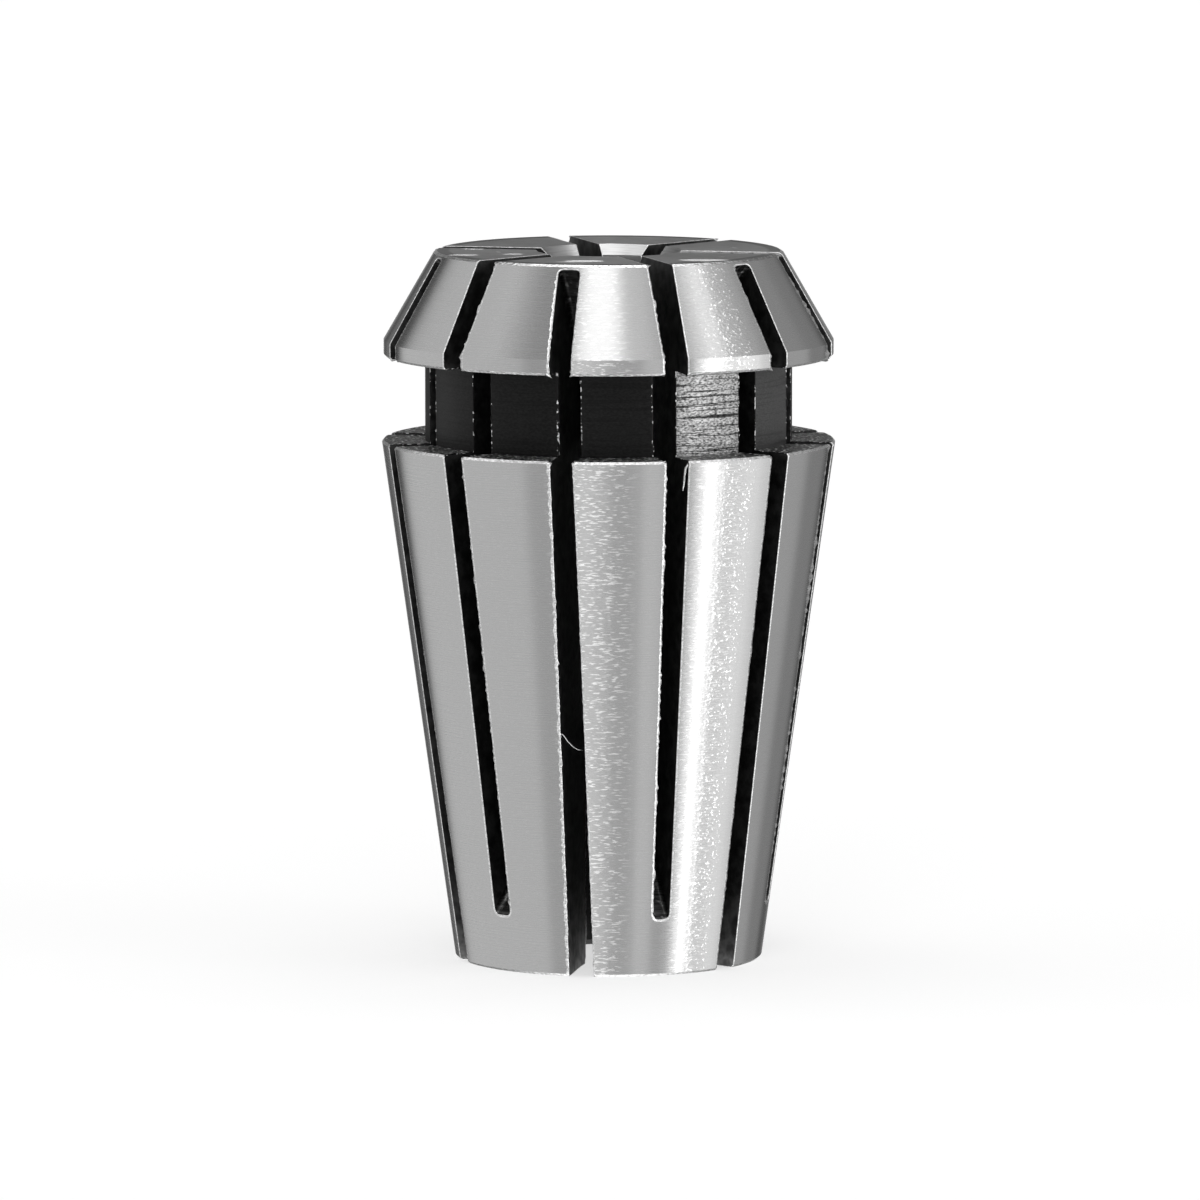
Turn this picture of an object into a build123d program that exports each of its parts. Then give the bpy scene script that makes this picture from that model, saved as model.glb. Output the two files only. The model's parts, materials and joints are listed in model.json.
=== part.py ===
"""Spring collet, ISO 15488 size 11, for a 1/8 inch shank.

One bar of spring steel is turned, slit by a saw from both ends and ground. It stands on its
small rear face: the origin is the centre of that face, +Z runs up the bore to the nose, and +X
runs through the middle of a jaw, between a slot from the rear and a slot from the nose.
"""

import os
from math import radians, sqrt, tan

from build123d import *

# ---------------------------------------------------------------- driving sizes, mm and degrees
overall_length = 18.0           # rear face to front face
large_diameter = 11.5           # top of the long taper, the widest place
taper_half_angle = 8.0          # long taper that seats in the holder

groove_width = 2.14             # groove that the nut's ring snaps into
groove_diameter = 9.3
rim_diameter = 11.4             # land at the back of the nose
land_width = 0.405
nose_length = 2.655             # land and cone together
nose_half_angle = 30.0          # short cone that the nut presses on

bore_diameter = 3.175           # 1/8 inch shank
front_bore_chamfer = 0.26
rear_bore_chamfer = 0.14

slots_from_each_end = 6         # six open at the nose, six at the rear, in turn
slot_closed_width = 0.47        # the segments are set apart, so a slot widens to its open end
slot_open_width = 0.58
rear_web = 1.45                 # rear face to the closed end of a nose slot, on the taper
front_web = 0.11                # front face to the closed end of a rear slot, on the cone
saw_radius = 10.0
saw_corner_radius = 0.12        # worn corner of the saw's rim
saw_overrun = 0.39              # how far the rim runs inside the bore wall

edge_break = 0.06               # stoned outer corners

# ---------------------------------------------------------------- sizes that follow
taper_length = overall_length - nose_length - groove_width
rim_height = taper_length + groove_width
cone_height = rim_height + land_width

bore_radius = bore_diameter / 2
large_radius = large_diameter / 2
groove_radius = groove_diameter / 2
rim_radius = rim_diameter / 2
taper_slope = tan(radians(taper_half_angle))
nose_slope = tan(radians(nose_half_angle))
rear_radius = large_radius - taper_length * taper_slope
front_radius = rim_radius - (overall_length - cone_height) * nose_slope

slot_pitch = 360 / slots_from_each_end

broken_corners = [
    (rear_radius, 0),
    (large_radius, taper_length),
    (rim_radius, rim_height),
    (front_radius, overall_length),
]


def saw_slot(closed_height, closed_radius, upward):
    """Metal that one saw pass takes away, on the +X side.

    The slot ends on the outer surface at closed_radius and closed_height, and is open at the
    top (upward 1) or at the bottom (upward -1). Its closed end has the saw's own round: it
    curves up and in, and leaves the bore wall well past the place where it shows outside.
    """
    reach = bore_radius - saw_overrun
    saw_axis = reach + saw_radius
    depth = closed_radius - reach
    saw_height = sqrt(depth * (2 * saw_radius - depth))
    run_out = overall_length + saw_radius
    open_width = slot_closed_width + (slot_open_width - slot_closed_width) * run_out / overall_length
    corner = min(saw_corner_radius, 0.45 * slot_closed_width)
    from_side = Plane(origin=(0, 0, closed_height), x_dir=(1, 0, 0), z_dir=(0, -upward, 0))
    from_front = Plane(origin=(0, 0, closed_height), x_dir=(0, upward, 0), z_dir=(1, 0, 0))

    with BuildPart() as slot:
        with BuildSketch(from_side):
            with BuildLine():
                rim = CenterArc((saw_axis, saw_height), saw_radius, 180, 90)
                Polyline(rim @ 1, (saw_axis, run_out), (reach, run_out), rim @ 0)
            make_face()
        extrude(amount=open_width, both=True)
        with BuildSketch(from_front):
            with BuildLine():
                Polyline(
                    (-slot_closed_width / 2, 0),
                    (slot_closed_width / 2, 0),
                    (open_width / 2, run_out),
                    (-open_width / 2, run_out),
                    close=True,
                )
            make_face()
        extrude(amount=saw_axis, mode=Mode.INTERSECT)
        rim_face = slot.faces().filter_by(GeomType.CYLINDER)[0]
        fillet(rim_face.edges().filter_by(Axis.Y, reverse=True), corner)
    return slot.part


# ---------------------------------------------------------------- the collet
with BuildPart() as collet:
    with BuildSketch(Plane.XZ):
        with BuildLine():
            Polyline(
                (bore_radius + rear_bore_chamfer, 0),
                (rear_radius, 0),
                (large_radius, taper_length),
                (groove_radius, taper_length),
                (groove_radius, rim_height),
                (rim_radius, rim_height),
                (rim_radius, cone_height),
                (front_radius, overall_length),
                (bore_radius + front_bore_chamfer, overall_length),
                (bore_radius, overall_length - front_bore_chamfer),
                (bore_radius, rear_bore_chamfer),
                close=True,
            )
        make_face()
        for corner in broken_corners:
            chamfer(vertices().sort_by_distance(corner)[0], edge_break)
    revolve(axis=Axis.Z)

    nose_slot = saw_slot(rear_web, rear_radius + rear_web * taper_slope, 1)
    rear_slot = saw_slot(overall_length - front_web, front_radius + front_web * nose_slope, -1)
    with PolarLocations(0, slots_from_each_end, start_angle=-slot_pitch / 4):
        add(nose_slot, mode=Mode.SUBTRACT)
    with PolarLocations(0, slots_from_each_end, start_angle=slot_pitch / 4):
        add(rear_slot, mode=Mode.SUBTRACT)

collet.part.label = "collet"
os.makedirs("parts", exist_ok=True)
export_step(collet.part, "parts/collet.step")
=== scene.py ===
# %% [markdown]
# # A spring collet, slit from both ends
#
# A spring collet is a small steel sleeve that grips the shank of a cutter. It is turned, slit
# by a thin saw six times from each end, hardened and ground. In this lesson the collet's shape
# comes from a CAD solid that is loaded as a fixed frame, and Blender gives it what a solid
# leaves out: worn slot edges, saw burrs, grinding marks and the dark skin of the heat treatment.
# The CAD solid stays exact, so the sizes below are read from it, or repeat the ones it was drawn
# with and are compared with it once the mesh is built.

# %% Load the frame
import json
import random
from collections import Counter
from math import atan2, cos, degrees, hypot, pi, radians, sin, sqrt, tan
from typing import NamedTuple

import bpy
from mathutils import Matrix, Vector
from mathutils.bvhtree import BVHTree


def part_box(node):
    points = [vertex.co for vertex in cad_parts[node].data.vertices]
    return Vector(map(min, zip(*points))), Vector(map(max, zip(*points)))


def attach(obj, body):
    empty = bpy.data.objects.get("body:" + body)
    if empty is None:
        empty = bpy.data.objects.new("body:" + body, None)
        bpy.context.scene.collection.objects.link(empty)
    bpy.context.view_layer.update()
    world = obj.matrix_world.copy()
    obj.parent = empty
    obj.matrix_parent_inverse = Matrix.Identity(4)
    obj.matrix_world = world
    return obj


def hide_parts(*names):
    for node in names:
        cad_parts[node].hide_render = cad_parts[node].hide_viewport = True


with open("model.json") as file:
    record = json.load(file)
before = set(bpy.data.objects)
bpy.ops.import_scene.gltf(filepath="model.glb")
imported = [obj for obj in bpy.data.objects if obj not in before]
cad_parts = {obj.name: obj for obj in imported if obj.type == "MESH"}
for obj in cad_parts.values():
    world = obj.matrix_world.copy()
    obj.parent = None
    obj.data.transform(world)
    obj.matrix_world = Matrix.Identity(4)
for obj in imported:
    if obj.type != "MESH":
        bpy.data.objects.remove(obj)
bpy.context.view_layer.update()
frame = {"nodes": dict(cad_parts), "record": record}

MM = 0.001
scene = bpy.context.scene

# %% [markdown]
# ## The main sizes
#
# The frame knows the length, the widest radius and the bore, so those three are read from it.
# The other sizes are those of the turning and the grinding: a long taper of 8 degrees that
# seats in the holder, a groove for the nut's ring, a narrow land and a short cone of 30 degrees
# that the nut presses on. They are named once, here, and everything after follows them.

# %% Sizes of the turned body
collet_node = frame["nodes"]["collet"]
cad_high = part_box("collet")[1]
bore_mount = next(m for m in frame["record"]["mounts"] if m["name"] == "bore")

taper_half_angle = radians(8)
nose_half_angle = radians(30)
edge_break = 0.06 * MM
groove_width = 2.14 * MM
groove_depth = 1.1 * MM
rim_step = 0.05 * MM  # how much lower the rim stands than the top of the taper
land_width = 0.405 * MM
nose_length = 2.655 * MM
front_bore_chamfer = 0.26 * MM
rear_bore_chamfer = 0.14 * MM

overall_length = cad_high.z
bore_radius = bore_mount["dims"]["r_mm"] * MM
large_radius = cad_high.x + edge_break * sin(taper_half_angle)
groove_radius = large_radius - groove_depth
rim_radius = large_radius - rim_step
taper_length = overall_length - nose_length - groove_width
rim_height = taper_length + groove_width
cone_height = rim_height + land_width
rear_radius = large_radius - taper_length * tan(taper_half_angle)
front_radius = rim_radius - (overall_length - cone_height) * tan(nose_half_angle)
print("rear and front radius in mm:", round(rear_radius / MM, 3), round(front_radius / MM, 3))

# %% [markdown]
# ## The turned profile
#
# A turned part is one outline spun round an axis. The outline is written as a closed loop of
# corners in (radius, height), from the rear face out and up the taper, over the nose and back
# down the bore. Each run between two corners is one zone with its own finish: ground, turned,
# honed or left dark. The screw modifier could spin this outline, but the twelve slots would
# then have to be cut with booleans, which leave no rows to bevel or to wear. So the rows and
# columns are built one by one, and the slots are planned into them.

# %% Corners of the outline
corner_at = {
    "rear_inner": (bore_radius + rear_bore_chamfer, 0),
    "rear_outer": (rear_radius - edge_break, 0),
    "taper_low": (
        rear_radius + edge_break * sin(taper_half_angle),
        edge_break * cos(taper_half_angle),
    ),
    "taper_high": (
        large_radius - edge_break * sin(taper_half_angle),
        taper_length - edge_break * cos(taper_half_angle),
    ),
    "ledge_outer": (large_radius - edge_break, taper_length),
    "groove_low": (groove_radius, taper_length),
    "groove_high": (groove_radius, rim_height),
    "rim_under": (rim_radius - edge_break, rim_height),
    "land_low": (rim_radius, rim_height + edge_break),
    "land_high": (rim_radius, cone_height),
    "cone_high": (
        front_radius + edge_break * sin(nose_half_angle),
        overall_length - edge_break * cos(nose_half_angle),
    ),
    "front_outer": (front_radius - edge_break, overall_length),
    "front_inner": (bore_radius + front_bore_chamfer, overall_length),
    "bore_high": (bore_radius, overall_length - front_bore_chamfer),
    "bore_low": (bore_radius, rear_bore_chamfer),
}
print("outline corners:", len(corner_at))

# %% Zones of the outline
GROUND, DARK, LEDGE, TURNED, HONED, EDGE, WALL, SAWN, WORN, RUBBED = range(10)


class Zone(NamedTuple):
    """A run of the outline, from its first corner to the first corner of the next zone."""

    name: str
    corner: str
    finish: int
    spacing: float  # between its rows of points
    edge: float  # width of the worn edge where a slot cuts it


zones = [
    Zone("rear_face", "rear_inner", TURNED, 0.25 * MM, 0.03 * MM),
    Zone("rear_break", "rear_outer", EDGE, 0.05 * MM, 0.03 * MM),
    Zone("taper", "taper_low", GROUND, 0.075 * MM, 0.04 * MM),
    Zone("taper_break", "taper_high", EDGE, 0.05 * MM, 0.03 * MM),
    Zone("ledge", "ledge_outer", LEDGE, 0.14 * MM, 0.025 * MM),
    Zone("groove", "groove_low", DARK, 0.09 * MM, 0.025 * MM),
    Zone("underside", "groove_high", DARK, 0.14 * MM, 0.025 * MM),
    Zone("rim_break", "rim_under", EDGE, 0.05 * MM, 0.03 * MM),
    Zone("land", "land_low", GROUND, 0.06 * MM, 0.035 * MM),
    Zone("cone", "land_high", GROUND, 0.075 * MM, 0.035 * MM),
    Zone("front_break", "cone_high", EDGE, 0.05 * MM, 0.02 * MM),
    Zone("front_face", "front_outer", TURNED, 0.2 * MM, 0.02 * MM),
    Zone("front_bore_chamfer", "front_inner", HONED, 0.1 * MM, 0.015 * MM),
    Zone("bore", "bore_high", HONED, 0.3 * MM, 0.01 * MM),
    Zone("rear_bore_chamfer", "bore_low", HONED, 0.1 * MM, 0.015 * MM),
]
zone_number = {zone.name: n for n, zone in enumerate(zones)}
print("zones:", len(zones))


# %% Ends and normals of the zones
def zone_ends(name):
    """The two corners of a zone."""
    first = zones[zone_number[name]]
    following = zones[(zone_number[name] + 1) % len(zones)]
    return Vector(corner_at[first.corner]), Vector(corner_at[following.corner])


def outward(a, b):
    """Unit normal of a run of the outline, pointing out of the metal."""
    along = (b - a).normalized()
    return Vector((along.y, -along.x))


zone_normal = {zone.name: outward(*zone_ends(zone.name)) for zone in zones}
print("normals:", {name: [round(n, 2) for n in normal] for name, normal in zone_normal.items()})

# %% [markdown]
# ## What the saw leaves
#
# Each slot is one pass of a slitting saw of 20 mm. The blade goes in from one end and stops, so
# the closed end keeps the round of the blade: it shows near the far end outside and leaves the
# bore wall much earlier. After hardening the jaws are set a little apart, so a slot is wider at
# its open end. The blade's worn rim rounds the corners of the closed end.
#
# Six slots open at the nose and six at the rear, in turn, 30 degrees apart.

# %% Sizes of the slots
slot_count = 12
slot_pitch = 2 * pi / slot_count
slot_closed_width = 0.47 * MM
slot_open_width = 0.58 * MM
rear_web = 1.45 * MM
front_web = 0.11 * MM
saw_radius = 10 * MM
saw_corner = 0.12 * MM
saw_overrun = 0.39 * MM
saw_reach = bore_radius - saw_overrun
saw_axis = saw_reach + saw_radius
slot_angle = [(s - 0.5) * slot_pitch for s in range(slot_count)]
# the slots that face the camera; a slot's side is -1 on its left and 1 on its right
FAR_LEFT, MID_LEFT, MID_RIGHT, FAR_RIGHT, RIM_RIGHT = 8, 9, 10, 11, 0
print("slots at", [round(degrees(a)) for a in slot_angle])

# %% [markdown]
# ## One pass of the saw
#
# Both kinds of slot are the same cut, one seen from the nose and one from the rear. So the cut
# is described once, as a class that knows how deep inside the blade a point lies and how wide
# the slot is there, and two objects of it serve all twelve slots. A boolean with a modelled blade
# would give the same hole, but not the places of its edges, which the wear needs.

# %% The saw's pass
settling_rounds = 5  # the width depends on itself a little, and has settled after this many


class SawPass:
    """One kind of slot, in its own frame: x outwards, y across, z up the collet."""

    def __init__(self, closed_z, closed_radius, upward):
        self.closed_z = closed_z
        self.upward = upward
        depth = closed_radius - saw_reach
        self.axis_rise = sqrt(depth * (2 * saw_radius - depth))

    def rise(self, z):
        """Height above the closed end, towards the open one."""
        return self.upward * (z - self.closed_z)

    def half_width(self, z):
        spread = (slot_open_width - slot_closed_width) * self.rise(z) / overall_length
        return (slot_closed_width + spread) / 2

    def rim_depth(self, x, z):
        """How far a point lies inside the blade's rim; negative is uncut metal."""
        below_axis = self.axis_rise - self.rise(z)
        if below_axis <= 0:
            return x - saw_reach
        return saw_radius - hypot(saw_axis - x, below_axis)

    def half_opening(self, r, z, grow):
        """Half the slot's width where it crosses radius r, with its surface moved back by grow."""
        corner = saw_corner + grow
        y = self.half_width(z) + grow
        for _ in range(settling_rounds):
            depth = self.rim_depth(sqrt(r * r - y * y), z) + grow
            left = max(0, corner - max(depth, 0))
            y = self.half_width(z) - saw_corner + sqrt(corner * corner - left * left)
        return y


nose_pass = SawPass(rear_web, rear_radius + rear_web * tan(taper_half_angle), 1)
rear_pass = SawPass(
    overall_length - front_web, front_radius + front_web * tan(nose_half_angle), -1
)
slots = [nose_pass if s % 2 == 0 else rear_pass for s in range(slot_count)]
# where each kind of slot starts and stops, in the order of the outline
crossings = {nose_pass: ("taper", "bore"), rear_pass: ("bore", "cone")}
print("saw axis above the closed ends in mm:",
      [round(saw.axis_rise / MM, 2) for saw in crossings])

# %% [markdown]
# ## Rows where a slot begins and ends
#
# A row of points runs round the collet at each station of the outline. Where a slot's closed
# end crosses the taper, the cone or the bore, its rounded corner needs rows of its own, at set
# steps round the corner. The height of each such row is found by halving the interval until
# the point lies on the blade's rim: a few lines of bisection are simpler than solving the
# meeting of a blade and a cone on paper, and they work for every zone.

# %% Find the rows at a closed end
corner_steps = [radians(a) for a in (0, 22.5, 45, 67.5, 90)]
halvings = 50


def closed_end_point(saw, name, step, share, grow, inset):
    """(share of the run, radius, height, y) where the slot's surface meets a zone.

    step is the angle round the worn corner, and share runs from -1 to 1 across the slot. grow
    moves the slot's surface back, and inset moves the zone into the metal.
    """
    a, b = zone_ends(name)
    back = zone_normal[name] * inset
    corner = saw_corner + grow
    wanted = corner * (1 - cos(step)) - grow

    def at(t):
        r, z = a.lerp(b, t) - back
        y = share * (saw.half_width(z) - saw_corner + corner * sin(step))
        return r, z, y, saw.rim_depth(sqrt(r * r - y * y), z) - wanted

    low, high = 0.0, 1.0
    rising = at(1)[3] > at(0)[3]
    for _ in range(halvings):
        middle = (low + high) / 2
        if (at(middle)[3] > 0) == rising:
            high = middle
        else:
            low = middle
    r, z, y, _ = at((low + high) / 2)
    return (low + high) / 2, r, z, y


planned = {zone.name: [] for zone in zones}
for saw, names in crossings.items():
    for name in names:
        edge = zones[zone_number[name]].edge
        for step in corner_steps:
            t = closed_end_point(saw, name, step, 0, edge, 0)[0]
            planned[name].append((t, saw, step))
print({n: [round(p[0], 4) for p in rows] for n, rows in planned.items() if rows})

# %% [markdown]
# ## All the stations
#
# Between the planned rows, each zone is filled with evenly spaced ones. They are close, well
# under a tenth of a millimetre on the ground faces, because the burrs along the slots are
# modelled row by row and their roughness is about that fine.

# %% Lay out the stations
class Station(NamedTuple):
    """A point of the outline where a row of points runs round the collet."""

    r: float
    z: float
    zone: Zone


def free_stretches(rows):
    """(from, to) shares of a run that no closed end takes up."""
    ends = []
    for saw in crossings:
        ts = [t for t, s, _ in rows if s is saw]
        if ts:
            ends += [min(ts), max(ts)]
    shares = [0.0, *sorted(ends), 1.0]
    return zip(shares[::2], shares[1::2])


stations = []
station_of = {}  # (saw, zone name, step) -> station
for zone in zones:
    a, b = zone_ends(zone.name)
    rows = sorted(planned[zone.name], key=lambda p: p[0])
    for left, right in free_stretches(rows):
        n = max(1, round((right - left) * (b - a).length / zone.spacing))
        first = 0 if left == 0 else 1
        rows += [(left + (right - left) * i / n, None, None) for i in range(first, n)]
    for t, saw, step in sorted(rows, key=lambda p: p[0]):
        if saw is not None:
            station_of[saw, zone.name, step] = len(stations)
        point = a.lerp(b, t)
        stations.append(Station(point.x, point.y, zone))
row_count = len(stations)
print("rows round the outline:", row_count)

# %% [markdown]
# ## Worn edges, not sharp ones
#
# A CAD edge is infinitely sharp and never catches light. A sawn slot has an edge that was
# dressed with a file or a wheel, so it shows as a thin bright line. Each slot edge is therefore
# a narrow strip of two faces: from a line on the ground skin, over a middle line, to a line just
# down the slot's wall. The middle line is where the burr sits.
#
# To find the line on the wall, the whole outline is moved into the metal by the edge's lip.
# At an outline corner the point moves along the mitre, as a picture frame is cut.

# %% Normals and inset of every station
lip = 0.014 * MM  # how far the worn edge reaches down the slot's wall


class Inset(NamedTuple):
    """A station moved into the metal by the lip."""

    r: float
    z: float
    edge: float  # width of a clean worn edge here
    normal: Vector  # of the skin, between the zones before and after


insets = []
for j, here in enumerate(stations):
    before = stations[j - 1]
    normal_here, normal_before = zone_normal[here.zone.name], zone_normal[before.zone.name]
    normal = normal_here + normal_before
    mitre = normal / (1 + normal_here.dot(normal_before))
    edge = (here.zone.edge + before.zone.edge) / 2
    insets.append(Inset(here.r - mitre.x * lip, here.z - mitre.y * lip, edge, normal.normalized()))
clean_edges = [inset.edge / MM for inset in insets]
print("clean edges in mm, from", round(min(clean_edges), 3), "to", round(max(clean_edges), 3))

# %% [markdown]
# ## Points along the slots
#
# The skin's points that matter most are those beside the slots, so they are made first. A worn
# edge isn't equally wide all the way: where a slot cuts a corner of the outline more of it has
# gone, and a few edges that met a blunt tooth are ragged from end to end. So the width is drawn
# by chance from row to row, with a fixed seed, so that each run of the script gives the same
# collet. A noise in the material could only paint such an edge, and its outline would stay
# straight.

# %% Keep the points
points = []  # every vertex of the collet, in metres
point_normal = []  # the normal that belongs to it on an edge line, or None


def turned_by(v, angle):
    """A place or a direction, turned about the collet's axis."""
    cosine, sine = cos(angle), sin(angle)
    return (v[0] * cosine - v[1] * sine, v[0] * sine + v[1] * cosine, v[2])


def add_point(angle, x, y, z, normal=None):
    """Adds a point given in the frame of a slot or a jaw that stands at the angle."""
    points.append(turned_by((x, y, z), angle))
    point_normal.append(normal and turned_by(normal, angle))
    return len(points) - 1


def skin_point(angle, j, y):
    here = stations[j]
    return add_point(angle, sqrt(here.r * here.r - y * y), y, here.z)


# %% How wide each slot edge is worn
nibble = random.Random(3)
most_nibbled = 1.7
clean_rows = 6  # rows beside a closed end whose edge stays even
corner_wear = {"rim_break": 2.2, "taper_break": 1.7, "front_break": 1.8}
# the ragged edges, by slot and side: times the usual width
edge_wear = {
    (FAR_LEFT, -1): 1.2,
    (MID_LEFT, -1): 1.8,
    (MID_RIGHT, -1): 1.3,
    (FAR_RIGHT, -1): 1.1,
    (RIM_RIGHT, 1): 2.2,
}


def worn_width(s, side, j):
    """Width of the bright edge at one row: even on a clean edge, ragged on a worn one."""
    wear = edge_wear.get((s, side), 1.0)
    corner = corner_wear.get(stations[j].zone.name, 1.0)
    return insets[j].edge * corner * (1 + (wear - 1) * nibble.uniform(0.0, most_nibbled))


print("ragged edges:", len(edge_wear), "of", 2 * slot_count)

# %% Points beside every slot
across = (-1 / 3, 1 / 3)  # inner points of the flat closed end
low_side, high_side, inner = {}, {}, {}  # (slot, row) -> point number
open_rows = []  # first and last row of each slot's opening


def opening_of(s):
    """First and last row of a slot's opening; the last may lie past the end of the loop."""
    saw = slots[s]
    start_zone, end_zone = crossings[saw]
    start = station_of[saw, start_zone, 0]
    end = station_of[saw, end_zone, 0]
    return start, end if end > start else end + row_count


def half_opening_at(s, side, j):
    """Half the width between the skin's edges of a slot, at a row inside its opening."""
    here = stations[j]
    from_end = min(abs(j - n % row_count) for n in open_rows[s])
    width = worn_width(s, side, j) if from_end > clean_rows else insets[j].edge
    return slots[s].half_opening(here.r, here.z, width)


for s, saw in enumerate(slots):
    start, end = opening_of(s)
    open_rows.append((start, end))
    for j in range(row_count):
        if start < j < end or start < j + row_count < end:
            low_y = half_opening_at(s, -1, j)
            high_y = half_opening_at(s, 1, j)
        else:
            low_y = high_y = saw.half_width(stations[j].z) - saw_corner
            inner[s, j] = [skin_point(slot_angle[s], j, high_y * share) for share in across]
        low_side[s, j] = skin_point(slot_angle[s], j, -low_y)
        high_side[s, j] = skin_point(slot_angle[s], j, high_y)
print("slot points:", len(points))

# %% [markdown]
# ## The skin
#
# Between two slots the skin is a plain grid. Its rows are the stations and its columns are
# spread evenly over the jaw. Where a slot is closed, three narrow columns carry the skin across.
# Two jaws were rubbed in the groove, where the nut's ring has worn through the black skin, so
# their faces there take a finish of their own.

# %% Points across the jaws
jaw_columns = 8


def jaw_row(s, j):
    """Points from the edge of slot s to the edge of the next one, at one row."""
    first, last = high_side[s, j], low_side[(s + 1) % slot_count, j]
    a = atan2(points[first][1], points[first][0])
    b = atan2(points[last][1], points[last][0])
    span = (b - a) % (2 * pi)
    here = stations[j]
    between = [
        add_point(a + span * c / jaw_columns, here.r, 0, here.z) for c in range(1, jaw_columns)
    ]
    return [first, *between, last]


jaw_rows = {(s, j): jaw_row(s, j) for s in range(slot_count) for j in range(row_count)}
print("points with the jaws:", len(points))

# %% Faces of the skin
# the jaws whose groove has lost some of its black skin, by the slot on their left
groove_wear = {MID_RIGHT: RUBBED, FAR_RIGHT: WORN}
faces = []  # (corner points, finish, zone name or None)


def add_strip(here, there, finish, zone_name=None):
    """Faces between two rows of as many points, the second row above the first."""
    for c in range(len(here) - 1):
        corners = (here[c], here[c + 1], there[c + 1], there[c])
        faces.append((corners, finish, zone_name))


def skin_row(s, j):
    """Points across a closed slot at one row."""
    return [low_side[s, j], *inner[s, j], high_side[s, j]]


for s, (start, end) in enumerate(open_rows):
    for j in range(row_count):
        k = (j + 1) % row_count
        zone = stations[j].zone
        finish = groove_wear.get(s, zone.finish) if zone.name == "groove" else zone.finish
        add_strip(jaw_rows[s, j], jaw_rows[s, k], finish, zone.name)
        if not (start <= j < end or start <= j + row_count < end):
            add_strip(skin_row(s, j), skin_row(s, k), finish, zone.name)
print("skin faces:", len(faces))

# %% [markdown]
# ## Burrs
#
# A burr is metal that the saw pushed over the edge instead of cutting. It is larger on the side
# where the teeth leave the metal, comes and goes along the slot, and was only partly brushed
# off. The middle line of each edge is pushed out by a seeded random amount: most rows hardly
# move, some stand out as a bead. The four edges that a blunt tooth left are clearly rougher, and
# all of them are roughest where the saw meets a corner of the outline.

# %% How rough each slot edge is
shake = random.Random(11)
edge_burr = {
    (s, side): shake.uniform(0.006, 0.014) * MM for s in range(slot_count) for side in (-1, 1)
}
edge_burr[FAR_LEFT, -1] = 0.018 * MM
edge_burr[MID_LEFT, -1] = 0.036 * MM
edge_burr[MID_RIGHT, -1] = 0.024 * MM
edge_burr[RIM_RIGHT, -1] = 0.026 * MM
corner_burr = {"taper_break": 2.5, "rim_break": 4, "land": 1.6, "front_break": 2.5}
swell_rows = 9  # rows from one swell of the burr to the next
least_swell = 0.25
least_crumb, crumb_reach = 0.35, 2.2


def burr_heights(count, size):
    """Burr height for each row: a slow swell times a fast, mostly small, crumb."""
    swell = [shake.random() for _ in range(count // swell_rows + 2)]
    heights = []
    for i in range(count):
        at = i / swell_rows
        n = int(at)
        slow = swell[n] + (swell[n + 1] - swell[n]) * (at - n)
        crumb = least_crumb + crumb_reach * shake.random() ** 3
        heights.append(size * (least_swell + slow) * crumb)
    return heights


print("burrs in mm:", [round(size / MM, 3) for size in edge_burr.values()])

# %% [markdown]
# ## The strip round a slot
#
# A slot's edge is one closed line: up one side, across the closed end, down the other side and
# across the other closed end. At each of its points three things are found: the point on the
# skin, which is there already, the point on the wall, and the middle point between them with its
# burr. A bevel modifier could round the edge too, but every row of it would be the same.

# %% Places round a slot's edge
# (saw, row) -> the zone and the step round the worn corner that the row was planned for
step_at = {(saw, j): (name, step) for (saw, name, step), j in station_of.items()}
print("rows that were planned for a closed end:", len(step_at))


def edge_loop(start, end):
    """(row, side, share across) of each point of a slot's edge, all the way round."""
    loop = [(row, 1, None) for row in range(start, end + 1)]
    loop += [(end, 0, share) for share in reversed(across)]
    loop += [(row, -1, None) for row in range(end, start - 1, -1)]
    return loop + [(start, 0, share) for share in across]


def wall_spot(saw, j, side, share):
    """Where the edge meets the slot's wall, and which way the wall faces there."""
    zone_name, step = step_at.get((saw, j), (None, None))
    if side == 0:
        _, r, z, y = closed_end_point(saw, zone_name, 0, share, 0, lip)
        facing_y = 0
    elif step is None:
        r, z = insets[j].r, insets[j].z
        y = side * saw.half_opening(r, z, 0)
        facing_y = -side
    else:
        _, r, z, y = closed_end_point(saw, zone_name, step, side, 0, lip)
        facing_y = -side * sin(step)
    x = sqrt(r * r - y * y)
    rim = Vector((saw_axis - x, 0, saw.upward * (saw.axis_rise - saw.rise(z)))).normalized()
    facing = rim * sqrt(1 - facing_y**2) + Vector((0, facing_y, 0))
    return (x, y, z), facing


# %% Middle line of the edge
crispness = 0.8  # of the edge: 1 is a sharp corner, 0 a flat chamfer
burr_outwards, burr_across = 0.8, 0.6


def in_slot_frame(s, point):
    """A point's place in the frame of a slot."""
    return turned_by(points[point], -slot_angle[s])


def middle_spot(s, j, skin, wall_place, facing, burr):
    """The middle point of the edge between its skin point and its wall place."""
    normal = insets[j].normal
    out = Vector((normal.x, 0, normal.y))
    wall = Vector(wall_place)
    flat = (1 - crispness) / 2
    skin_spot = Vector(in_slot_frame(s, skin))
    middle = (wall + out * lip) * crispness + skin_spot * flat + wall * flat
    middle += (out * burr_outwards + facing * burr_across) * burr
    middle.z = min(max(middle.z, 0), overall_length)
    return middle


# %% Build the strips round one slot
def add_band(here, there, finish):
    """Faces between two rows of as many points, the second row beside the first."""
    for n in range(len(here) - 1):
        faces.append(((here[n], there[n], there[n + 1], here[n + 1]), finish, None))


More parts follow.
